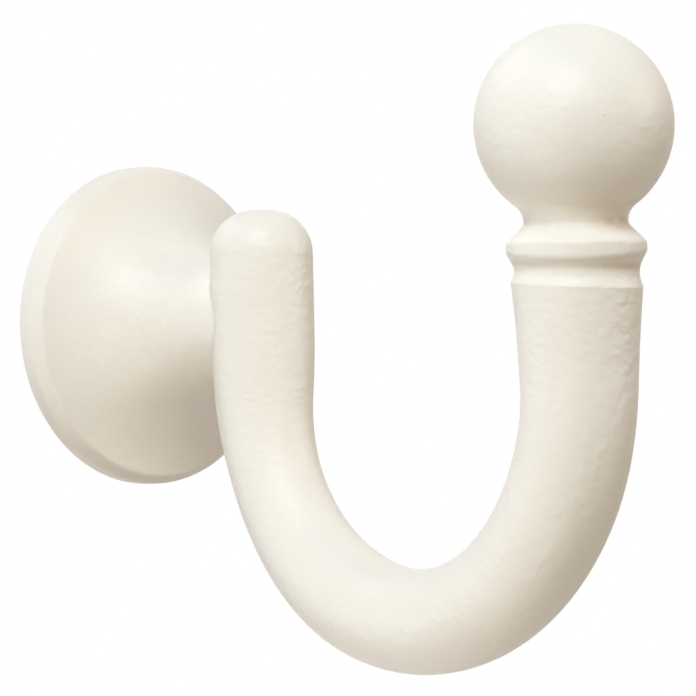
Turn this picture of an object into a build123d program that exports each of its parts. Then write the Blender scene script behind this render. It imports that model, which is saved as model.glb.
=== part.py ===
from build123d import *
import os
from math import cos, pi, radians, sin, sqrt, tan

# Painted wooden coat hook: a turned rosette, a U-shaped arm, a turned ball finial, and the
# double-ended screw that holds them to the wall. All sizes are in millimetres.
# The origin is the centre of the rosette's back face, which lies on the wall. +Y points into
# the wall, the hook stands out towards -Y, and +Z is up. The hook is symmetrical about X = 0.

# Rosette
rosette_diameter = 45.0
rim_depth = 2.3
crease_diameter = 43.0
crease_depth = 3.9
back_rounding = 0.4
rim_rounding = 1.5
crease_rounding = 0.5
flare_radius = 22.0
flare_neck_diameter = 13.4

# Centre line of the arm, which lies in the plane X = 0
rear_arm_offset = 26.1
rear_arm_rise = 15.3
bend_drop = 9.7
arm_spread = 63.9
front_arm_rise = 14.2

# Thickness of the arm, with the places on the bend in degrees from its rear end
rear_arm_diameter = 14.4
waist_diameter = 12.6
waist_angle = 24.0
lower_arm_diameter = 14.3
lower_arm_angle = 74.0
front_arm_diameter = 15.5
front_arm_angle = 166.0
lip_diameter = 17.5
taper_length = 7.7
dome_flat_diameter = 2.4

# Upper end of the arm, tilted forward, where the ball finial is glued on
seat_tilt = 3.7
lip_height = 1.5
groove_diameter = 16.4

# Ball finial, from its joint with the arm up
groove_height = 0.6
bead_lift = 2.8
bead_height = 1.2
bead_diameter = 18.7
bead_slope = 45.0
bead_rounding = 1.2
finial_neck_diameter = 13.9
finial_neck_height = 1.8
neck_foot_rounding = 0.8
neck_top_rounding = 2.6
ball_diameter = 26.6

# Spigot under the finial, and its socket in the arm
spigot_diameter = 8.0
spigot_length = 11.0
spigot_chamfer = 0.8
glue_gap = 0.1
glue_pocket = 1.0

# Double-ended wood screw, and the holes that take it
thread_diameter = 5.0
shank_diameter = 4.2
wall_thread_length = 17.0
arm_thread_length = 7.5
screw_point_length = 3.0
screw_tip_diameter = 0.5
screw_clearance = 0.2
pilot_pocket = 0.3
drill_point_angle = 118.0

# Round sections that the arm is lofted through
straight_section_count = 3
bend_section_count = 15

rear_arm_y = -rear_arm_offset
front_arm_y = rear_arm_y - arm_spread
bend_radius = arm_spread / 2
bend_y = rear_arm_y - bend_radius
bend_length = pi * bend_radius
seat_z = front_arm_rise - bend_drop
arm_back_y = rear_arm_y + rear_arm_diameter / 2
dome_rounding = (rear_arm_diameter - dome_flat_diameter) / 2

# Turned outlines are drawn with their radius along the first axis
wall_section = Plane(origin=(0, 0, 0), x_dir=(1, 0, 0), z_dir=(0, 0, -1))
upright_section = Plane.XZ


def round_corner(face, corner, radius):
    """The face with its corner nearest to a point rounded."""
    return fillet(face.vertices().sort_by_distance(corner)[0], radius)


def evenly(start, end, count):
    """Values from start to end, both included."""
    return [start + (end - start) * step / (count - 1) for step in range(count)]


def ease(start, end, share):
    """Value between start and end that leaves both with no slope."""
    return start + (end - start) * (1 - cos(pi * share)) / 2


def arm_diameter(run):
    """Thickness of the arm at a run along its centre line, counted from the bend's rear end."""
    waist_run = bend_radius * radians(waist_angle)
    lower_run = bend_radius * radians(lower_arm_angle)
    front_run = bend_radius * radians(front_arm_angle)
    lip_run = bend_length + front_arm_rise - lip_height
    if run <= -taper_length:
        return rear_arm_diameter
    if run <= waist_run:
        share = (run + taper_length) / (waist_run + taper_length)
        return ease(rear_arm_diameter, waist_diameter, share)
    if run <= lower_run:
        share = (run - waist_run) / (lower_run - waist_run)
        return ease(waist_diameter, lower_arm_diameter, share)
    if run <= front_run:
        share = (run - lower_run) / (front_run - lower_run)
        return ease(lower_arm_diameter, front_arm_diameter, share)
    share = (run - front_run) / (lip_run - front_run)
    return front_arm_diameter + (lip_diameter - front_arm_diameter) * share**2


def arm_section_plane(run):
    """Plane across the arm at a run along its centre line, counted from the bend's rear end."""
    if run < 0:
        return Plane((0, rear_arm_y, -bend_drop - run), x_dir=(1, 0, 0), z_dir=(0, 0, -1))
    if run > bend_length:
        height = run - bend_length - bend_drop
        return Plane((0, front_arm_y, height), x_dir=(1, 0, 0), z_dir=(0, 0, 1))
    turn = run / bend_radius
    centre = (0, bend_y + bend_radius * cos(turn), -bend_drop - bend_radius * sin(turn))
    return Plane(centre, x_dir=(1, 0, 0), z_dir=(0, -sin(turn), -cos(turn)))


def arm_runs():
    """Runs at which the arm's round sections stand, from its taper to past its upper end."""
    taper = evenly(-taper_length, 0, straight_section_count)
    bend = evenly(0, bend_length, bend_section_count)
    front = evenly(bend_length, bend_length + front_arm_rise + lip_height, straight_section_count)
    return taper + bend[1:] + front[1:]


def seat_plane():
    """Plane of the joint between the arm and the finial, lower at the front."""
    return Plane((0, front_arm_y, seat_z)).rotated((seat_tilt, 0, 0))


def arm_end_cutter():
    """Turned cutter that trims the arm's upper end and chamfers it from the seat to the lip."""
    groove_radius = groove_diameter / 2
    chamfer_run = (lip_diameter - groove_diameter) / 2
    outline = Polyline(
        (0, 0),
        (groove_radius, 0),
        (groove_radius + 2 * chamfer_run, -2 * lip_height),
        (lip_diameter, -2 * lip_height),
        (lip_diameter, lip_diameter),
        (0, lip_diameter),
        close=True,
    )
    return seat_plane() * revolve(upright_section * make_face(outline), Axis.Z)


def rear_post():
    """Straight, even part of the rear arm, with its domed top."""
    height = rear_arm_rise + bend_drop - taper_length
    post = Pos(0, rear_arm_y, rear_arm_rise - height / 2) * Cylinder(rear_arm_diameter / 2, height)
    return fillet(post.edges().sort_by(Axis.Z)[-1], dome_rounding)


def arm_blank():
    """The arm before drilling: the rear post and a loft along the U, cut to shape at the front."""
    bend = loft([arm_section_plane(run) * Circle(arm_diameter(run) / 2) for run in arm_runs()])
    return rear_post() + bend - arm_end_cutter()


def drill(diameter, depth):
    """Blind hole along -Z from the origin, with the point of the drill below its full depth."""
    point = diameter / 2 / tan(radians(drill_point_angle / 2))
    barrel = Pos(0, 0, (diameter - depth) / 2) * Cylinder(diameter / 2, depth + diameter)
    return barrel + Pos(0, 0, -depth - point / 2) * Cone(0, diameter / 2, point)


def hook_arm():
    """The arm with the screw's hole in its back and the spigot's socket in its upper end."""
    screw_depth = arm_thread_length + screw_point_length + pilot_pocket
    screw_hole = Pos(0, arm_back_y, 0) * Rot(-90, 0, 0) * drill(thread_diameter, screw_depth)
    socket_depth = spigot_length + glue_pocket
    socket = Pos(0, front_arm_y, seat_z) * drill(spigot_diameter + 2 * glue_gap, socket_depth)
    return arm_blank() - screw_hole - socket


def wall_rosette():
    """The rosette: a bevelled rim and a concave flare, hollowed at its neck to fit the arm."""
    rim_radius = rosette_diameter / 2
    crease_radius = crease_diameter / 2
    neck_radius = flare_neck_diameter / 2
    flare_side = neck_radius + flare_radius - crease_radius
    flare_depth = crease_depth + sqrt(flare_radius**2 - flare_side**2)
    neck_end = max(flare_depth, rear_arm_offset) + neck_radius
    rim_corner = (rim_radius, rim_depth)
    crease = (crease_radius, crease_depth)
    outline = Polyline((0, neck_end), (0, 0), (rim_radius, 0), rim_corner, crease)
    outline += RadiusArc(crease, (neck_radius, flare_depth), flare_radius)
    outline += Polyline((neck_radius, flare_depth), (neck_radius, neck_end), (0, neck_end))
    face = make_face(outline)
    face = round_corner(face, (rim_radius, 0), back_rounding)
    face = round_corner(face, rim_corner, rim_rounding)
    face = round_corner(face, crease, crease_rounding)
    turned = revolve(wall_section * face, Axis.Y)
    behind_arm = split(turned, Plane((0, rear_arm_y, 0), z_dir=(0, 1, 0)), keep=Keep.TOP)
    bore_radius = thread_diameter / 2 + screw_clearance
    bore = Rot(90, 0, 0) * Cylinder(bore_radius, 2 * rear_arm_offset)
    return behind_arm - arm_blank() - bore


def ball_finial():
    """The finial: groove, bead, neck and ball, with the spigot that goes into the arm."""
    groove_radius = groove_diameter / 2
    bead_radius = bead_diameter / 2
    neck_radius = finial_neck_diameter / 2
    ball_radius = ball_diameter / 2
    bead_top = bead_lift + bead_height
    neck_base = bead_top + (bead_radius - neck_radius) * tan(radians(bead_slope))
    neck_top = neck_base + finial_neck_height
    ball_centre = neck_top + sqrt(ball_radius**2 - neck_radius**2)
    ball_top = ball_centre + ball_radius
    foot = -groove_radius
    outline = Polyline(
        (0, ball_top),
        (0, foot),
        (groove_radius, foot),
        (groove_radius, groove_height),
        (bead_radius, bead_lift),
        (bead_radius, bead_top),
        (neck_radius, neck_base),
        (neck_radius, neck_top),
    )
    outline += ThreePointArc((neck_radius, neck_top), (ball_radius, ball_centre), (0, ball_top))
    face = make_face(outline)
    face = round_corner(face, (bead_radius, bead_lift), bead_rounding)
    face = round_corner(face, (bead_radius, bead_top), bead_rounding)
    face = round_corner(face, (neck_radius, neck_base), neck_foot_rounding)
    face = round_corner(face, (neck_radius, neck_top), neck_top_rounding)
    head = Pos(0, front_arm_y, seat_z) * revolve(upright_section * face, Axis.Z)
    head = split(head, seat_plane(), keep=Keep.TOP)
    length = spigot_length + ball_centre
    spigot = Pos(0, 0, length / 2) * Cylinder(spigot_diameter / 2, length)
    spigot = chamfer(spigot.edges().sort_by(Axis.Z)[0], spigot_chamfer)
    return head + Pos(0, front_arm_y, seat_z - spigot_length) * spigot


def wall_screw():
    """The double-ended screw: both threads at their outer diameter, and the shank between."""
    thread_radius = thread_diameter / 2
    shank_radius = shank_diameter / 2
    tip_radius = screw_tip_diameter / 2
    arm_thread_end = arm_back_y - arm_thread_length
    wall_tip = wall_thread_length + screw_point_length
    outline = Polyline(
        (0, screw_point_length - arm_thread_end),
        (tip_radius, screw_point_length - arm_thread_end),
        (thread_radius, -arm_thread_end),
        (thread_radius, -arm_back_y),
        (shank_radius, -arm_back_y),
        (shank_radius, 0),
        (thread_radius, 0),
        (thread_radius, -wall_thread_length),
        (tip_radius, -wall_tip),
        (0, -wall_tip),
        close=True,
    )
    return revolve(wall_section * make_face(outline), Axis.Y)


pieces = {
    "wall_rosette": wall_rosette(),
    "hook_arm": hook_arm(),
    "ball_finial": ball_finial(),
    "wall_screw": wall_screw(),
}

os.makedirs("parts", exist_ok=True)
for name, piece in pieces.items():
    export_step(piece, f"parts/{name}.step")
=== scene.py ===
from math import atan2, cos, exp, hypot, pi, radians, sin, sqrt, tan

import bmesh
import bpy
from mathutils import Matrix, Vector, noise


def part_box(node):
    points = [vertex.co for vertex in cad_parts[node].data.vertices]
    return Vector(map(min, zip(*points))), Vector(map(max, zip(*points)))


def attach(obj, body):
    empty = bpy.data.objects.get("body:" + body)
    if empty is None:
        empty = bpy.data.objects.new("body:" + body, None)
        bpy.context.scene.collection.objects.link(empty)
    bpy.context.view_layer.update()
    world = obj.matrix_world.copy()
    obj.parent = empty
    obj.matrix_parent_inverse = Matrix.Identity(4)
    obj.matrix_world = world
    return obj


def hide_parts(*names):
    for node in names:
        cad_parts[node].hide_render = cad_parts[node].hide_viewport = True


# A painted wooden coat hook, seen from its front left. Each CAD piece is replaced by a finer
# mesh of the same form, with its edges and joints softened by paint.
# Shapes are worked out in millimetres in the row frame and turned into metres with MM.

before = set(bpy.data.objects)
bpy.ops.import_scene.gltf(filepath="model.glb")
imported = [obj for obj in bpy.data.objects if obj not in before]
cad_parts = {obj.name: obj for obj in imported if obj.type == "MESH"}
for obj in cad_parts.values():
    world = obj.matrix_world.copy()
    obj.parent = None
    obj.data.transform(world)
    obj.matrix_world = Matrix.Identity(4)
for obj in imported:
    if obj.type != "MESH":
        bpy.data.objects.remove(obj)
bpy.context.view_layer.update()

MM = 0.001
X_AXIS = Vector((1, 0, 0))
Y_AXIS = Vector((0, 1, 0))


def box_mm(node):
    """Lowest and highest corner of a CAD node in millimetres."""
    return [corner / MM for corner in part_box(node)]


# Sizes read from the frame
rosette_high = box_mm("wall_rosette")[1]
arm_high = box_mm("hook_arm")[1]
finial_low, finial_high = box_mm("ball_finial")
screw_low, screw_high = box_mm("wall_screw")
rosette_radius = rosette_high.x
ball_radius = finial_high.x
ball_z = finial_high.z - ball_radius
front_arm_y = (finial_low.y + finial_high.y) / 2
rear_arm_top = arm_high.z
arm_back_y = arm_high.y
thread_radius = screw_high.x

# Rosette
bore_radius = 2.7
back_rounding = 0.4
rim_depth = 2.3
rim_rounding = 1.6
crease_radius = 21.5
crease_depth = 3.9
crease_rounding = 1.1
flare_radius = 22.0
flare_neck_radius = 6.7
joint_paint_reach = 0.55
joint_paint_sink = 0.03

# Length of the rosette's neck that stays even, and how far paint laps on to its back and fades
even_near_joint = 8.0
back_paint_start = 3.2
back_paint_fade = 3.0

# Arm
rear_arm_radius = 7.2
dome_rounding = 6.0
bend_z = -9.7
taper_length = 7.7
waist_radius = 6.3
waist_angle = radians(24)
lower_arm_radius = 7.15
lower_arm_angle = radians(74)
front_arm_radius = 7.75
front_arm_angle = radians(166)
lip_radius = 8.75
lip_height = 1.5
lip_rounding = 0.35
front_arm_rise = 14.2
socket_radius = 4.1
socket_depth = 12.0
screw_hole_depth = 10.8
drill_slope = tan(radians(59))
arm_end_length = 7.0

# Joint and finial, with heights above the middle of the joint
seat_tilt = radians(3.7)
groove_radius = 8.2
groove_height = 0.6
groove_reach_up = 1.0
groove_reach_down = 0.7
bead_lift = 2.8
bead_top = 4.0
heavy_side = radians(-41)
heavy_spread = 1.5
heavy_drop = 0.95
heavy_groove_rise = 0.1
bead_radius = 9.35
bead_foot_rounding = 1.1
bead_top_rounding = 1.0
neck_radius = 6.95
neck_foot_rounding = 0.8
neck_top_rounding = 2.6
spigot_radius = 4.0
spigot_length = 11.0
spigot_chamfer = 0.8

# Screw
core_radius = 1.6
shank_radius = 2.1
arm_thread_length = 7.5
thread_pitch = 2.2
thread_crest_width = 0.24
thread_crest_bulge = 0.85
thread_run_out = 1.6
screw_point = 3.0
screw_tip_radius = 0.25
screw_tip_share = 0.35

# Fineness of the meshes
ROUND_SEGMENTS = 144
SCREW_SEGMENTS = 48
ARC_STEPS = 8
TUBE_STEP = 0.5
THREAD_STEP = 0.11
SHARP_EDGE = radians(48)

# Hand-made unevenness of the wood and paint, always inwards from the true form
uneven_depth = 0.07
uneven_scale = 0.09

# Painted shade in the paint colour of the groove and round the neck's foot, darkest on one side
shade_side = radians(10)
shade_side_focus = 7
groove_shade_height = 1.15
groove_shade_reach = 0.5
groove_shade_least = 0.21
groove_shade_more = 0.2
neck_shade_reach = 1.1
neck_shade_least = 0.12
neck_shade_more = 0.5

rear_arm_y = arm_back_y - rear_arm_radius
bend_radius = (rear_arm_y - front_arm_y) / 2
bend_y = (rear_arm_y + front_arm_y) / 2
bend_length = pi * bend_radius
seat_z = bend_z + front_arm_rise
ball_height = ball_z - seat_z
seat_run = bend_length + front_arm_rise


def arc(centre, radius, start, end, steps=ARC_STEPS):
    """Points of an arc in a (radius, height) outline, from one angle to another."""
    angles = [start + (end - start) * step / steps for step in range(steps + 1)]
    return [centre + radius * Vector((cos(angle), sin(angle))) for angle in angles]


def line(start, end, steps):
    """Points from start to end, both included."""
    return [start.lerp(end, step / steps) for step in range(steps + 1)]


def rounded(*corners):
    """Outline through corners given as (radius, height, rounding, steps that lead to it)."""
    places = [Vector(corner[:2]) for corner in corners]
    points = [places[0]]
    for index in range(1, len(corners)):
        corner = places[index]
        rounding, steps = corners[index][2:]
        bend = [corner]
        if rounding:
            before = (places[index - 1] - corner).normalized()
            after = (places[index + 1] - corner).normalized()
            half = before.angle(after) / 2
            centre = corner + (before + after).normalized() * rounding / sin(half)
            first = corner + before * rounding / tan(half) - centre
            last = corner + after * rounding / tan(half) - centre
            start = atan2(first.y, first.x)
            sweep = atan2(first.cross(last), first.dot(last))
            bend = arc(centre, rounding, start, start + sweep)
        points += line(points[-1], bend[0], steps)[1:] + bend[1:]
    return points


def ease(start, end, share):
    """Value between start and end that leaves both with no slope."""
    return start + (end - start) * (1 - cos(pi * share)) / 2


def arm_radius(run):
    """Radius of the arm at a run along its centre line, counted from the bend's rear end."""
    waist_run = bend_radius * waist_angle
    lower_run = bend_radius * lower_arm_angle
    front_run = bend_radius * front_arm_angle
    if run <= -taper_length:
        return rear_arm_radius
    if run <= waist_run:
        share = (run + taper_length) / (waist_run + taper_length)
        return ease(rear_arm_radius, waist_radius, share)
    if run <= lower_run:
        return ease(waist_radius, lower_arm_radius, (run - waist_run) / (lower_run - waist_run))
    if run <= front_run:
        share = (run - lower_run) / (front_run - lower_run)
        return ease(lower_arm_radius, front_arm_radius, share)
    share = (run - front_run) / (seat_run - lip_height - front_run)
    return front_arm_radius + (lip_radius - front_arm_radius) * share**2


def arm_frame(run):
    """Centre of the arm at a run, and the direction away from the inside of the U there."""
    if run < 0:
        return Vector((0, rear_arm_y, bend_z - run)), Y_AXIS
    if run > bend_length:
        return Vector((0, front_arm_y, bend_z + run - bend_length)), -Y_AXIS
    turn = run / bend_radius
    out = Vector((0, cos(turn), -sin(turn)))
    return Vector((0, bend_y, bend_z)) + bend_radius * out, out


def arm_back_depth(radius, angle):
    """Depth from the wall to the arm's surface at a place round the rosette's axis."""
    side = radius * sin(angle)
    thickness = arm_radius(bend_z - radius * cos(angle))
    return -rear_arm_y - sqrt(max(0, thickness**2 - side**2))


def seat_height(radius, angle):
    """Height of the tilted joint at a place round the finial's axis, from the front."""
    return -radius * cos(angle) * tan(seat_tilt)


def crossing(difference, low, high):
    """The value between low and high at which a rising difference passes zero."""
    for _ in range(40):
        middle = (low + high) / 2
        low, high = (middle, high) if difference(middle) < 0 else (low, middle)
    return (low + high) / 2


def unevenness(grain, seed):
    """How far the surface lies under its true form at a place in the wood."""
    place = grain * uneven_scale + seed * Vector((7.1, 3.3, 5.7))
    broad = noise.noise(place)
    fine = noise.noise(place * 3.1)
    return uneven_depth * min(1, max(0, 0.5 + 0.45 * broad + 0.2 * fine))


def painted_shade(place):
    """Share of painted shade, a darker paint colour, at a place in the row frame."""
    x, y, height = place - Vector((0, front_arm_y, seat_z))
    radius, angle = hypot(x, y), atan2(x, -y)
    neck_foot = bead_top + bead_radius - neck_radius
    if radius > bead_radius or abs(height) > 2 * neck_foot:
        return 0.0
    worst = max(0, cos(angle - shade_side)) ** shade_side_focus
    above_seat = height - seat_height(radius, angle)
    in_groove = exp(-(((above_seat - groove_shade_height) / groove_shade_reach) ** 2))
    at_neck = exp(-(((height - neck_foot) / neck_shade_reach) ** 2))
    groove_share = (groove_shade_least + groove_shade_more * worst) * in_groove
    return groove_share + (neck_shade_least + neck_shade_more * worst) * at_neck


def skin(name, rings, closed=False):
    """Mesh object over rings of (place, grain, paint); a ring of one point is a pole."""
    places, grains, paints, painted_shades, starts, faces = [], [], [], [], [], []
    for ring in rings:
        starts.append(len(places))
        for place, grain, paint in ring:
            places.append(place * MM)
            grains.extend(grain * MM)
            paints.append(paint)
            painted_shades.append(painted_shade(place))
    pairs = list(zip(range(len(rings)), range(1, len(rings))))
    if closed:
        pairs.append((len(rings) - 1, 0))
    for one, two in pairs:
        count_one, count_two = len(rings[one]), len(rings[two])
        count = max(count_one, count_two)
        for step in range(count):
            after = (step + 1) % count
            corners = [
                starts[one] + step % count_one,
                starts[one] + after % count_one,
                starts[two] + after % count_two,
                starts[two] + step % count_two,
            ]
            faces.append(list(dict.fromkeys(corners)))
    mesh = bpy.data.meshes.new(name)
    mesh.from_pydata(places, [], faces)
    mesh.attributes.new("grain", "FLOAT_VECTOR", "POINT").data.foreach_set("vector", grains)
    mesh.attributes.new("paint", "FLOAT", "POINT").data.foreach_set("value", paints)
    # The share of painted shade in the groove and round the neck's foot goes to the material as a
    # point attribute
    mesh.attributes.new("painted_shade", "FLOAT", "POINT").data.foreach_set("value", painted_shades)
    mesh.validate()
    return finished_object(name, mesh)


def finished_object(name, mesh):
    """Object of a mesh with its faces turned outwards and smooth, apart from sharp edges."""
    shell = bmesh.new()
    shell.from_mesh(mesh)
    bmesh.ops.recalc_face_normals(shell, faces=shell.faces)
    shell.to_mesh(mesh)
    shell.free()
    mesh.polygons.foreach_set("use_smooth", [True] * len(mesh.polygons))
    mesh.set_sharp_from_angle(angle=SHARP_EDGE)
    piece = bpy.data.objects.new(name, mesh)
    bpy.context.scene.collection.objects.link(piece)
    return piece


def rings_from(outline, place, count=ROUND_SEGMENTS):
    """Rings of points, from an outline for each angle and a function that places its points."""
    columns = []
    for segment in range(count):
        angle = 2 * pi * segment / count
        columns.append([place(angle, *point) for point in outline(angle)])
    return [list(ring) for ring in zip(*columns)]


def pole(ring):
    """Ring of one point, from a ring whose points all lie on the axis."""
    return [ring[0]]


def rosette_flare(depth):
    """Radius of the rosette's flare at a depth from the wall."""
    lower = min(depth, flare_end_depth)
    return flare_centre.x - sqrt(flare_radius**2 - (flare_centre.y - lower) ** 2)


flare_side = flare_neck_radius + flare_radius - crease_radius
flare_end_depth = crease_depth + sqrt(flare_radius**2 - flare_side**2)
flare_centre = Vector((flare_neck_radius + flare_radius, flare_end_depth))


def rosette_outline(angle):
    """Outline of the rosette at an angle round its axis: back, rim, flare, joint and bore."""
    flare_slope = Vector((flare_centre.y - crease_depth, -flare_side)).normalized()
    after_crease = Vector((crease_radius, crease_depth)) - flare_slope
    outline = rounded(
        (bore_radius, 0, 0, 0),
        (rosette_radius, 0, back_rounding, 30),
        (rosette_radius, rim_depth, rim_rounding, 2),
        (crease_radius, crease_depth, crease_rounding, 2),
        (*after_crease, 0, 1),
    )[:-1]
    joint_depth = crossing(
        lambda depth: depth - arm_back_depth(rosette_flare(depth), angle), 10, -rear_arm_y
    )
    joint = Vector((rosette_flare(joint_depth), joint_depth))
    first = outline[-1] - flare_centre
    last = joint - flare_centre
    start = atan2(first.y, first.x) % (2 * pi)
    end = atan2(last.y, last.x) % (2 * pi) if joint_depth < flare_end_depth else pi
    end += joint_paint_reach / flare_radius
    flare = arc(flare_centre, flare_radius, start, end, 70)
    outline += flare[1:]
    paint_start = outline[-1]
    slope = arm_back_depth(joint.x + 0.01, angle) - arm_back_depth(joint.x - 0.01, angle)
    lip_x = joint.x + joint_paint_reach / sqrt(1 + (slope / 0.02) ** 2)
    lip = Vector((lip_x, arm_back_depth(lip_x, angle) + joint_paint_sink))
    for step in range(1, ARC_STEPS + 1):
        share = step / ARC_STEPS
        outline.append(paint_start.lerp(joint, share).lerp(joint.lerp(lip, share), share))
    for step in range(1, 13):
        radius = lip_x + (bore_radius - lip_x) * step / 12
        outline.append(Vector((radius, arm_back_depth(radius, angle))))
    outline += line(outline[-1], Vector((bore_radius, 0)), 12)[1:-1]
    return outline


def place_on_rosette(angle, radius, depth):
    """Point of the rosette. Its back and its bore are bare wood."""
    grain = Vector((radius * sin(angle), depth, radius * cos(angle)))
    outer = depth > 0.2 and radius > bore_radius + 0.05
    paint = 1.0 if outer else 0.0
    if depth <= 0.2 and radius > bore_radius + 0.05:
        inside_start = radius - rosette_radius + back_paint_start
        paint = min(1, max(0, inside_start / back_paint_fade))
    under = unevenness(grain, 1) if outer and depth < -rear_arm_y - even_near_joint else 0
    shrunk = max(radius - under, bore_radius)
    return Vector((shrunk * sin(angle), -depth, shrunk * cos(angle))), grain, paint


def lip_corner(angle):
    """Point where the arm's side meets the chamfer under the joint, at an angle from the front."""

    def past_chamfer(height):
        radius = arm_radius(seat_run + height)
        place = Vector((radius * sin(angle), -radius * cos(angle), height))
        axis = Vector((0, -sin(seat_tilt), cos(seat_tilt)))
        along = place.dot(axis)
        chamfer = groove_radius - along * (lip_radius - groove_radius) / lip_height
        return (place - along * axis).length - chamfer

    lip = crossing(past_chamfer, -6, 1)
    return Vector((arm_radius(seat_run + lip), lip))


def bead_flank(angle):
    """Foot of the flank under the bead, and its upper end. On one side the bead is heavier."""
    heavy = max(0, cos(angle - heavy_side)) ** heavy_spread
    foot = Vector((groove_radius, groove_height + heavy_groove_rise * heavy))
    return foot, Vector((bead_radius, bead_lift - heavy_drop * heavy))


def groove_points(angle):
    """The paint in the groove round the joint: its points on the finial, then on the arm."""
    flank_foot, flank_top = bead_flank(angle)
    seat_edge = Vector((groove_radius, seat_height(groove_radius, angle)))
    flank = (flank_top - flank_foot).normalized()
    chamfer = (lip_corner(angle) - seat_edge).normalized()
    start = flank_foot + groove_reach_up * flank * (1 - 0.6 * (flank_foot.y - groove_height))
    end = seat_edge + groove_reach_down * chamfer

    def point(share):
        one = start.lerp(flank_foot, share)
        two = flank_foot.lerp(seat_edge, share)
        three = seat_edge.lerp(end, share)
        return one.lerp(two, share).lerp(two.lerp(three, share), share)

    def past_seat(share):
        place = point(share)
        return seat_height(place.x, angle) - place.y

    joint = crossing(past_seat, 0, 1)
    above = [point(joint * step / 10) for step in range(11)]
    below = [point(joint + (1 - joint) * step / 8) for step in range(9)]
    return above, below


def arm_end_outline(angle):
    """Outline of the arm's upper end at an angle from the front: lip, chamfer and socket."""
    lip = lip_corner(angle)
    groove = groove_points(angle)[1]
    middle = seat_height(socket_radius, angle)
    start = -arm_end_length
    outline = []
    for step in range(13):
        height = start + (lip.y - lip_rounding / 2 - start) * step / 12
        outline.append(Vector((arm_radius(seat_run + height), height)))
    before = outline.pop()
    outline += rounded(
        (*before, 0, 0),
        (*lip, lip_rounding, 1),
        (*groove[-1], 0, 2),
    )
    outline += groove[-2::-1]
    outline += rounded(
        (*groove[0], 0, 0),
        (socket_radius, middle, 0, 6),
        (socket_radius, -socket_depth, 0, 16),
        (0, -socket_depth - socket_radius / drill_slope, 0, 4),
    )[1:]
    return outline


def place_on_arm_end(angle, radius, height):
    """Point of the arm's upper end, with its height above the middle of the joint."""
    grain = Vector((radius * sin(angle), seat_run + height, radius * cos(angle)))
    covered = radius < groove_radius - 0.3
    under = 0 if covered else unevenness(grain, 2)
    shrunk = radius - under
    place = Vector((shrunk * sin(angle), front_arm_y - shrunk * cos(angle), seat_z + height))
    return place, grain, 0.0 if covered else 1.0


def arm_ring(run, radius):
    """Ring of points round the arm at a run along its centre line."""
    centre, out = arm_frame(run)
    ring = []
    for segment in range(ROUND_SEGMENTS):
        angle = 2 * pi * segment / ROUND_SEGMENTS
        grain = Vector((radius * sin(angle), run, radius * cos(angle)))
        shrunk = max(0.0, radius - unevenness(grain, 2)) if radius else 0.0
        place = centre + shrunk * (sin(angle) * X_AXIS + cos(angle) * out)
        ring.append((place, grain, 1.0))
    return ring


def arm_rings():
    """Rings of the arm from the dome at its rear end, round the bend, to its upper end."""
    top_run = bend_z - rear_arm_top
    flat = rear_arm_radius - dome_rounding
    rings = [pole(arm_ring(top_run, 0))]
    rings += [arm_ring(top_run, flat * share) for share in (0.35, 0.7)]
    for step in range(21):
        turn = pi / 2 * (1 - step / 20)
        run = top_run + dome_rounding * (1 - sin(turn))
        rings.append(arm_ring(run, flat + dome_rounding * cos(turn)))
    start = top_run + dome_rounding
    end = seat_run - arm_end_length
    count = round((end - start) / TUBE_STEP)
    for step in range(1, count):
        run = start + (end - start) * step / count
        rings.append(arm_ring(run, arm_radius(run)))
    tip = rings_from(arm_end_outline, place_on_arm_end)
    return rings + tip[:-1] + [pole(tip[-1])]


def finial_outline(angle):
    """Outline of the finial from the ball's top down to the spigot's end."""
    ball_centre = Vector((0, ball_height))
    fillet_x = neck_radius + neck_top_rounding
    fillet_y = ball_height - sqrt((ball_radius + neck_top_rounding) ** 2 - fillet_x**2)
    fillet_centre = Vector((fillet_x, fillet_y))
    slant = ball_centre - fillet_centre
    ball_end = atan2(-slant.y, -slant.x)
    outline = arc(ball_centre, ball_radius, pi / 2, ball_end, 96)
    outline += arc(fillet_centre, neck_top_rounding, atan2(slant.y, slant.x), pi, 18)[1:]
    outline[0].x = 0
    neck_foot = bead_top + bead_radius - neck_radius
    groove = groove_points(angle)[0]
    seat_middle = seat_height(spigot_radius, angle)
    outline += rounded(
        (*outline[-1], 0, 0),
        (neck_radius, neck_foot, neck_foot_rounding, 1),
        (bead_radius, bead_top, bead_top_rounding, 5),
        (*bead_flank(angle)[1], bead_foot_rounding, 1),
        (*groove[0], 0, 3),
    )[1:]
    outline += groove[1:]
    outline += rounded(
        (*groove[-1], 0, 0),
        (spigot_radius, seat_middle, 0, 6),
        (spigot_radius, spigot_chamfer - spigot_length, 0, 14),
        (spigot_radius - spigot_chamfer, -spigot_length, 0, 2),
        (0, -spigot_length, 0, 4),
    )[1:]
    return outline


def place_on_finial(angle, radius, height):
    """Point of the finial, with its height above the middle of the joint."""
    grain = Vector((radius * sin(angle), height, radius * cos(angle)))
    covered = radius < groove_radius - 0.05 and height < 1
    under = 0 if covered or radius < 0.01 else unevenness(grain, 3)
    shrunk = max(0.0, radius - under * min(1, radius / 2))
    place = Vector((shrunk * sin(angle), front_arm_y - shrunk * cos(angle), seat_z + height))
    return place, grain, 0.0 if covered else 1.0


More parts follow.
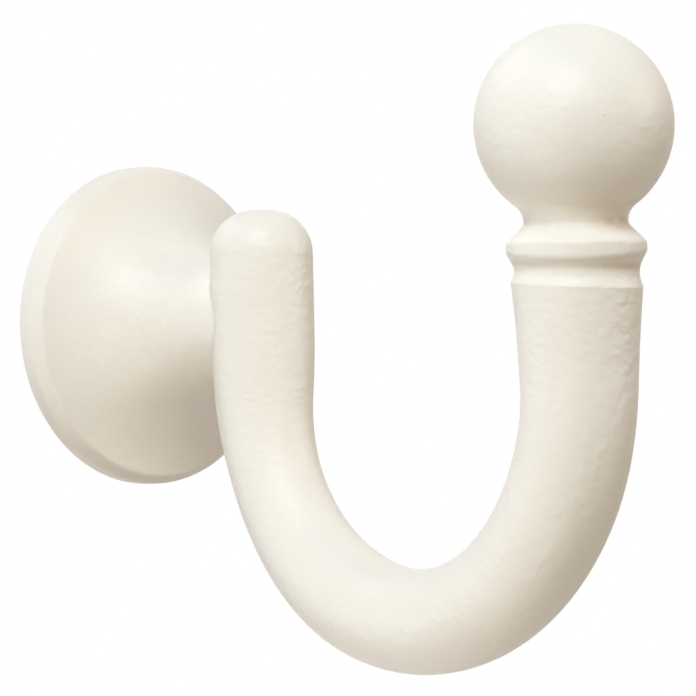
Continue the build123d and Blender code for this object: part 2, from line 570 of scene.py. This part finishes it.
def screw_ring(depth):
    """Ring of the screw at a depth into the wall, negative on the hook's side."""
    arm_thread_end = -arm_back_y + arm_thread_length
    wall_thread_end = screw_high.y - screw_point
    if depth > 0:
        past_end, into_thread = depth - wall_thread_end, depth
    else:
        past_end, into_thread = -depth - arm_thread_end, -depth + arm_back_y
    ring = []
    for segment in range(SCREW_SEGMENTS):
        angle = 2 * pi * segment / SCREW_SEGMENTS
        radius = shank_radius
        if into_thread > 0:
            rise = min(1, into_thread / thread_run_out)
            phase = (depth / thread_pitch - segment / SCREW_SEGMENTS) % 1
            crest = max(0, 1 - abs(phase - 0.5) / thread_crest_width) ** thread_crest_bulge
            valley = shank_radius + (core_radius - shank_radius) * rise
            radius = valley + (thread_radius - valley) * crest * rise
        if past_end > 0:
            limit = 1 - past_end / screw_point
            radius = min(radius, screw_tip_radius + (thread_radius - screw_tip_radius) * limit)
            radius *= screw_tip_share + (1 - screw_tip_share) * limit
            radius = max(screw_tip_radius, radius)
        place = Vector((radius * sin(angle), depth, radius * cos(angle)))
        ring.append((place, place, 0.0))
    return ring


def screw_rings():
    """Rings of the whole screw, with a pole at each pointed end."""
    count = round((screw_high.y - screw_low.y) / THREAD_STEP)
    depths = [
        screw_low.y + (screw_high.y - screw_low.y) * step / count for step in range(count + 1)
    ]
    low_tip = Vector((0, screw_low.y, 0))
    high_tip = Vector((0, screw_high.y, 0))
    rings = [screw_ring(depth) for depth in depths]
    return [[(low_tip, low_tip, 0.0)]] + rings + [[(high_tip, high_tip, 0.0)]]


def drilled(piece):
    """The arm with the screw's hole cut into its back."""
    outline = [
        (0, 1.0),
        (thread_radius, 1.0),
        (thread_radius, -screw_hole_depth),
        (0, -screw_hole_depth - thread_radius / drill_slope),
    ]

    def place(angle, radius, out):
        spot = Vector((radius * sin(angle), arm_back_y + out, radius * cos(angle)))
        return spot, spot, 0.0

    rings = rings_from(lambda angle: outline, place, SCREW_SEGMENTS)
    rings[0], rings[-1] = pole(rings[0]), pole(rings[-1])
    cutter = skin("screw_hole_cutter", rings)
    cut = piece.modifiers.new("screw_hole", "BOOLEAN")
    cut.operation = "DIFFERENCE"
    cut.solver = "EXACT"
    cut.object = cutter
    graph = bpy.context.evaluated_depsgraph_get()
    mesh = bpy.data.meshes.new_from_object(piece.evaluated_get(graph))
    piece.modifiers.clear()
    piece.data = mesh
    mesh.name = piece.name
    bpy.data.objects.remove(cutter)
    return piece


class Nodes:
    """The node tree of a material or a world, with short calls for its nodes."""

    def __init__(self, owner, output="ShaderNodeOutputMaterial"):
        self.owner = owner
        self.output = output
        owner.use_nodes = True
        self.tree = owner.node_tree
        self.tree.nodes.clear()

    def add(self, kind, inputs=(), **settings):
        """New node; inputs are (socket, value or output socket) pairs."""
        node = self.tree.nodes.new(kind)
        for key, value in settings.items():
            setattr(node, key, value)
        for socket, value in inputs:
            if isinstance(value, bpy.types.NodeSocket):
                self.tree.links.new(value, node.inputs[socket])
            else:
                node.inputs[socket].default_value = value
        return node

    def math(self, operation, one, two=0.0, clamp=False):
        node = self.add("ShaderNodeMath", [(0, one), (1, two)], operation=operation)
        node.use_clamp = clamp
        return node.outputs[0]

    def range(self, value, low, high, to_low=0.0, to_high=1.0):
        """Value moved from one range to another, and kept inside it."""
        inputs = [(0, value), (1, low), (2, high), (3, to_low), (4, to_high)]
        return self.add("ShaderNodeMapRange", inputs).outputs[0]

    def blend(self, share, one, two):
        """Colour between one and two."""
        node = self.add("ShaderNodeMix", [(0, share), (6, one), (7, two)], data_type="RGBA")
        return node.outputs[2]

    def grain_mm(self, stretch, offset):
        """Place in the wood in millimetres, times a stretch for each direction."""
        grain = self.add("ShaderNodeAttribute", attribute_name="grain").outputs["Vector"]
        inputs = [(0, grain), (1, [value / MM for value in stretch]), (2, offset)]
        return self.add("ShaderNodeVectorMath", inputs, operation="MULTIPLY_ADD").outputs[0]

    def noise(self, vector, scale, detail=2.0, roughness=0.5):
        inputs = [
            ("Vector", vector),
            ("Scale", scale),
            ("Detail", detail),
            ("Roughness", roughness),
        ]
        return self.add("ShaderNodeTexNoise", inputs).outputs[0]

    def bump(self, height, distance, strength=1.0, normal=None):
        inputs = [("Height", height), ("Distance", distance * MM), ("Strength", strength)]
        if normal is not None:
            inputs.append(("Normal", normal))
        return self.add("ShaderNodeBump", inputs).outputs[0]

    def seen(self):
        """1 for rays from the camera and through gloss or glass, 0 for the light on surfaces."""
        path = self.add("ShaderNodeLightPath").outputs
        shiny = self.math("MAXIMUM", path["Is Glossy Ray"], path["Is Transmission Ray"])
        return self.math("MAXIMUM", path["Is Camera Ray"], shiny)

    def finish(self, shader):
        """Sends the shader to the output and returns the material or world."""
        self.add(self.output, [("Surface", shader)])
        return self.owner


def painted_wood(name, seed, peel_depth):
    """Ivory satin paint with brush peel of a depth in mm, and bare wood where there is none."""
    nodes = Nodes(bpy.data.materials.new(name))
    offset = [31.0 * seed, 17.0 * seed, 11.0 * seed]
    place = nodes.grain_mm((1, 1, 1), offset)
    along = nodes.grain_mm((1, 0.1, 1), offset)

    clouds = nodes.noise(place, 0.07, 3)
    mottle = nodes.noise(place, 0.55, 4, 0.6)
    fibres = nodes.noise(along, 1.5, 4, 0.6)
    peel = nodes.noise(nodes.grain_mm((0.9, 1.15, 0.9), offset), 0.7, 1)
    swell = nodes.noise(place, 0.3, 2)
    nib_inputs = [("Vector", place), ("Scale", 0.22), ("Randomness", 1.0)]
    nibs = nodes.add("ShaderNodeTexVoronoi", nib_inputs).outputs["Distance"]
    nib = nodes.range(nibs, 0.05, 0.0)

    thin = nodes.range(clouds, 0.35, 0.65)
    ivory = nodes.blend(thin, PAINT_WARM, PAINT_COOL)
    streak = nodes.range(fibres, 0.3, 0.7)
    ivory = nodes.blend(nodes.math("MULTIPLY", streak, 0.10), ivory, PAINT_SHADE)
    speckle = nodes.range(mottle, 0.35, 0.75)
    ivory = nodes.blend(nodes.math("MULTIPLY", speckle, 0.12), ivory, PAINT_LIGHT)
    # Painted shade: the paint turns brown in the groove and round the neck's foot, patchy with the
    # mottle
    painted_shade_share = nodes.add("ShaderNodeAttribute", attribute_name="painted_shade").outputs["Fac"]
    painted_shade_share = nodes.math("MULTIPLY", painted_shade_share, nodes.range(mottle, 0.35, 0.65, 0.75, 1.25))
    ivory = nodes.blend(painted_shade_share, ivory, PAINTED_SHADE_COLOUR)

    wood_streak = nodes.range(nodes.noise(along, 0.9, 5, 0.65), 0.3, 0.7)
    wood = nodes.blend(wood_streak, WOOD_LIGHT, WOOD_DARK)
    turning = nodes.add(
        "ShaderNodeTexWave",
        [("Vector", place), ("Scale", 0.45), ("Distortion", 0.6), ("Detail", 2.0)],
        wave_type="RINGS",
        rings_direction="Y",
    ).outputs["Fac"]
    wood = nodes.blend(nodes.math("MULTIPLY", turning, 0.25), wood, WOOD_DARK)

    coat = nodes.add("ShaderNodeAttribute", attribute_name="paint").outputs["Fac"]
    ragged = nodes.math("ADD", coat, nodes.range(mottle, 0.0, 1.0, -0.35, 0.35))
    painted = nodes.range(ragged, 0.45, 0.6)
    colour = nodes.blend(painted, wood, ivory)
    paint_gloss = nodes.range(clouds, 0.3, 0.7, PAINT_ROUGHNESS - 0.04, PAINT_ROUGHNESS + 0.04)
    gloss = nodes.range(painted, 0.0, 1.0, WOOD_ROUGHNESS, 0.0)
    roughness = nodes.math("MAXIMUM", gloss, paint_gloss)

    normal = nodes.bump(peel, peel_depth)
    normal = nodes.bump(swell, 0.08, normal=normal)
    normal = nodes.bump(fibres, 0.03, normal=normal)
    normal = nodes.bump(mottle, 0.035, normal=normal)
    normal = nodes.bump(nib, 0.05, normal=normal)
    bare = nodes.math("SUBTRACT", 1.0, painted)
    normal = nodes.bump(nodes.math("MULTIPLY", turning, bare), 0.08, normal=normal)
    shader = nodes.add(
        "ShaderNodeBsdfPrincipled",
        [("Base Color", colour), ("Roughness", roughness), ("Normal", normal)],
    )
    return nodes.finish(shader.outputs[0])


def zinc_plated_steel(name):
    """Bright plated steel with faint marks round the screw and dull patches."""
    nodes = Nodes(bpy.data.materials.new(name))
    place = nodes.grain_mm((1, 1, 1), [0.0, 0.0, 0.0])
    round_marks = nodes.noise(nodes.grain_mm((0.3, 6, 0.3), [0.0, 0.0, 0.0]), 1.0, 3)
    patches = nodes.noise(place, 0.5, 3)
    colour = nodes.blend(nodes.range(patches, 0.35, 0.7), STEEL_BRIGHT, STEEL_DULL)
    roughness = nodes.range(patches, 0.3, 0.7, 0.26, 0.42)
    normal = nodes.bump(round_marks, 0.02)
    shader = nodes.add(
        "ShaderNodeBsdfPrincipled",
        [
            ("Base Color", colour),
            ("Metallic", 1.0),
            ("Roughness", roughness),
            ("Normal", normal),
        ],
    )
    return nodes.finish(shader.outputs[0])


# Colours are linear red, green and blue
PAINT_WARM = (0.79, 0.745, 0.655, 1)
PAINT_COOL = (0.81, 0.77, 0.685, 1)
PAINT_LIGHT = (0.85, 0.82, 0.745, 1)
PAINT_SHADE = (0.73, 0.67, 0.57, 1)
# Brown of the painted shade in the groove and round the neck's foot
PAINTED_SHADE_COLOUR = (0.36, 0.22, 0.10, 1)
PAINT_ROUGHNESS = 0.5
ROSETTE_PEEL = 0.09
ARM_PEEL = 0.17
FINIAL_PEEL = 0.09
WOOD_LIGHT = (0.60, 0.42, 0.25, 1)
WOOD_DARK = (0.40, 0.25, 0.13, 1)
WOOD_ROUGHNESS = 0.62
STEEL_BRIGHT = (0.66, 0.66, 0.63, 1)
STEEL_DULL = (0.50, 0.50, 0.46, 1)


def add_piece(piece, material, node):
    """Gives a piece its material and its place in the frame."""
    piece.data.materials.clear()
    piece.data.materials.append(material)
    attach(piece, "root")
    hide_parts(node)


rosette = skin("rosette", rings_from(rosette_outline, place_on_rosette), closed=True)
arm = drilled(skin("arm", arm_rings()))
finial_grid = rings_from(finial_outline, place_on_finial)
finial_grid[0], finial_grid[-1] = pole(finial_grid[0]), pole(finial_grid[-1])
finial = skin("finial", finial_grid)
screw = skin("screw", screw_rings())
rosette_paint = painted_wood("ivory_paint_rosette", 1, ROSETTE_PEEL)
arm_paint = painted_wood("ivory_paint_arm", 2, ARM_PEEL)
finial_paint = painted_wood("ivory_paint_finial", 3, FINIAL_PEEL)
add_piece(rosette, rosette_paint, "wall_rosette")
add_piece(arm, arm_paint, "hook_arm")
add_piece(finial, finial_paint, "ball_finial")
add_piece(screw, zinc_plated_steel("zinc_plated_steel"), "wall_screw")

# Camera: its angles, focus and target were fitted to the outline in the photograph
IMAGE_SIZE = 696
camera_azimuth = radians(-41.262)
camera_elevation = radians(-0.81)
camera_roll = radians(-1.194)
camera_distance = 0.9
camera_focus_px = 6573.7
camera_target = Vector((0, -43.961, -4.251)) * MM
SENSOR_WIDTH = 36.0

view_back = Vector(
    (
        sin(camera_azimuth) * cos(camera_elevation),
        -cos(camera_azimuth) * cos(camera_elevation),
        sin(camera_elevation),
    )
)
level_right = Vector((cos(camera_azimuth), sin(camera_azimuth), 0))
level_up = view_back.cross(level_right)
view_right = cos(camera_roll) * level_right + sin(camera_roll) * level_up
view_up = cos(camera_roll) * level_up - sin(camera_roll) * level_right


def looking(location, right, up, back):
    """Matrix of an object at a location whose own axes are right, up and back."""
    turn = Matrix((right, up, back)).transposed()
    return Matrix.Translation(location) @ turn.to_4x4()


camera = bpy.data.objects.new("camera", bpy.data.cameras.new("camera"))
camera.data.sensor_fit = "HORIZONTAL"
camera.data.sensor_width = SENSOR_WIDTH
camera.data.lens = SENSOR_WIDTH * camera_focus_px / IMAGE_SIZE
camera.data.clip_start = 0.05
camera.data.clip_end = 20
camera.matrix_world = looking(
    camera_target + camera_distance * view_back, view_right, view_up, view_back
)
bpy.context.scene.collection.objects.link(camera)
bpy.context.scene.camera = camera

# Lamps: (name, place aimed at, angle up, angle to the right, distance, size, watts, colour).
# Both angles are in degrees, from the direction that faces the camera.
hook_middle = camera_target
bend_bottom = Vector((0, bend_y, bend_z - bend_radius + 6)) * MM
LAMPS = (
    ("lamp_key", hook_middle, 45, -12, 0.8, 0.4, 6.15, (0.83, 0.92, 1.0)),
    ("lamp_right", hook_middle, 20, 90, 0.8, 0.3, 2.32, (1.0, 0.94, 0.86)),
    ("lamp_front", hook_middle, -10, 20, 0.8, 0.3, 0.6, (1.0, 0.85, 0.6)),
    ("lamp_low", hook_middle, -40, -30, 0.8, 0.3, 1.62, (1.0, 0.895, 0.716)),
    ("lamp_left", hook_middle, -10, -90, 0.8, 0.3, 0.89, (0.71, 0.91, 1.0)),
    ("lamp_left_back", hook_middle, 45, -120, 0.8, 0.3, 1.04, (1.0, 0.95, 0.9)),
    ("lamp_under_bend", bend_bottom, -54, -31, 0.13, 0.08, 0.043, (0.88, 0.93, 1.0)),
)


def add_lamp(name, target, rise, turn, distance, size, watts, colour):
    """Square area lamp that points at a target."""
    level = cos(radians(rise))
    right, up, back = sin(radians(turn)) * level, sin(radians(rise)), cos(radians(turn)) * level
    toward = (right * view_right + up * view_up + back * view_back).normalized()
    side = toward.orthogonal().normalized()
    data = bpy.data.lights.new(name, "AREA")
    data.size = size
    data.energy = watts
    data.color = colour
    lamp = bpy.data.objects.new(name, data)
    lamp.matrix_world = looking(target + distance * toward, side, toward.cross(side), toward)
    lamp.visible_camera = False
    bpy.context.scene.collection.objects.link(lamp)
    return lamp


for lamp in LAMPS:
    add_lamp(*lamp)

# The world is a white background. It lights the object dimly all round, and more from behind on
# the left
WORLD_LIGHT = (0.113, 0.08, 0.056, 1)
WORLD_LEFT_LIGHT = (0.525, 0.535, 0.62, 1)


def studio_world():
    """White for what the camera sees and what shines, soft light for everything else."""
    nodes = Nodes(bpy.data.worlds.new("studio"), "ShaderNodeOutputWorld")
    direction = nodes.add("ShaderNodeTexCoord").outputs["Generated"]
    left_back = (-view_right - view_back).normalized()
    facing = nodes.add(
        "ShaderNodeVectorMath", [(0, direction), (1, left_back)], operation="DOT_PRODUCT"
    ).outputs["Value"]
    facing = nodes.math("MAXIMUM", facing, 0.0)
    left = nodes.add(
        "ShaderNodeBackground", [("Color", WORLD_LEFT_LIGHT), ("Strength", facing)]
    ).outputs[0]
    round_about = nodes.add("ShaderNodeBackground", [("Color", WORLD_LIGHT)]).outputs[0]
    light = nodes.add("ShaderNodeAddShader", [(0, round_about), (1, left)]).outputs[0]
    white = nodes.add("ShaderNodeBackground", [("Color", (1, 1, 1, 1))]).outputs[0]
    shader = nodes.add("ShaderNodeMixShader", [(0, nodes.seen()), (1, light), (2, white)])
    return nodes.finish(shader.outputs[0])


bpy.context.scene.world = studio_world()

# Floor: a pale round sheet under the hook that fades out into the background
FLOOR_Z = -0.11
FLOOR_RADIUS = 1.2
FLOOR_FADE_START = 0.6
FLOOR_COLOUR = (0.8, 0.8, 0.79, 1)
FLOOR_SHADE = (0.72, 0.72, 0.7, 1)
FLOOR_SEGMENTS = 96
FLOOR_GLOW = 0.42


def floor_material():
    """Pale matt paper that is clear from below and towards its edge."""
    nodes = Nodes(bpy.data.materials.new("pale_paper"))
    place = nodes.add("ShaderNodeNewGeometry")
    spread = nodes.add("ShaderNodeVectorMath", [(0, place.outputs["Position"])], operation="LENGTH")
    fade = nodes.range(spread.outputs["Value"], FLOOR_FADE_START, FLOOR_RADIUS * 0.97)
    tone = nodes.range(nodes.noise(place.outputs["Position"], 40, 3), 0.3, 0.7)
    colour = nodes.blend(nodes.math("MULTIPLY", tone, 0.05), FLOOR_COLOUR, FLOOR_SHADE)
    matt = nodes.add("ShaderNodeBsdfDiffuse", [("Color", colour)]).outputs[0]
    glow_strength = nodes.math("MULTIPLY", nodes.seen(), FLOOR_GLOW)
    glow = nodes.add("ShaderNodeEmission", [("Strength", glow_strength)]).outputs[0]
    paper = nodes.add("ShaderNodeAddShader", [(0, matt), (1, glow)]).outputs[0]
    clear = nodes.add("ShaderNodeBsdfTransparent").outputs[0]
    hidden = nodes.math("MAXIMUM", fade, place.outputs["Backfacing"])
    shader = nodes.add("ShaderNodeMixShader", [(0, hidden), (1, paper), (2, clear)])
    return nodes.finish(shader.outputs[0])


rim = []
for step in range(FLOOR_SEGMENTS):
    turn = 2 * pi * step / FLOOR_SEGMENTS
    rim.append(Vector((FLOOR_RADIUS * cos(turn), FLOOR_RADIUS * sin(turn), FLOOR_Z)))
floor_mesh = bpy.data.meshes.new("floor")
floor_mesh.from_pydata(rim, [], [range(FLOOR_SEGMENTS)])
floor_mesh.materials.append(floor_material())
floor = bpy.data.objects.new("floor", floor_mesh)
floor.visible_diffuse = False
floor.visible_shadow = False
bpy.context.scene.collection.objects.link(floor)

bpy.context.scene.view_settings.view_transform = "Standard"
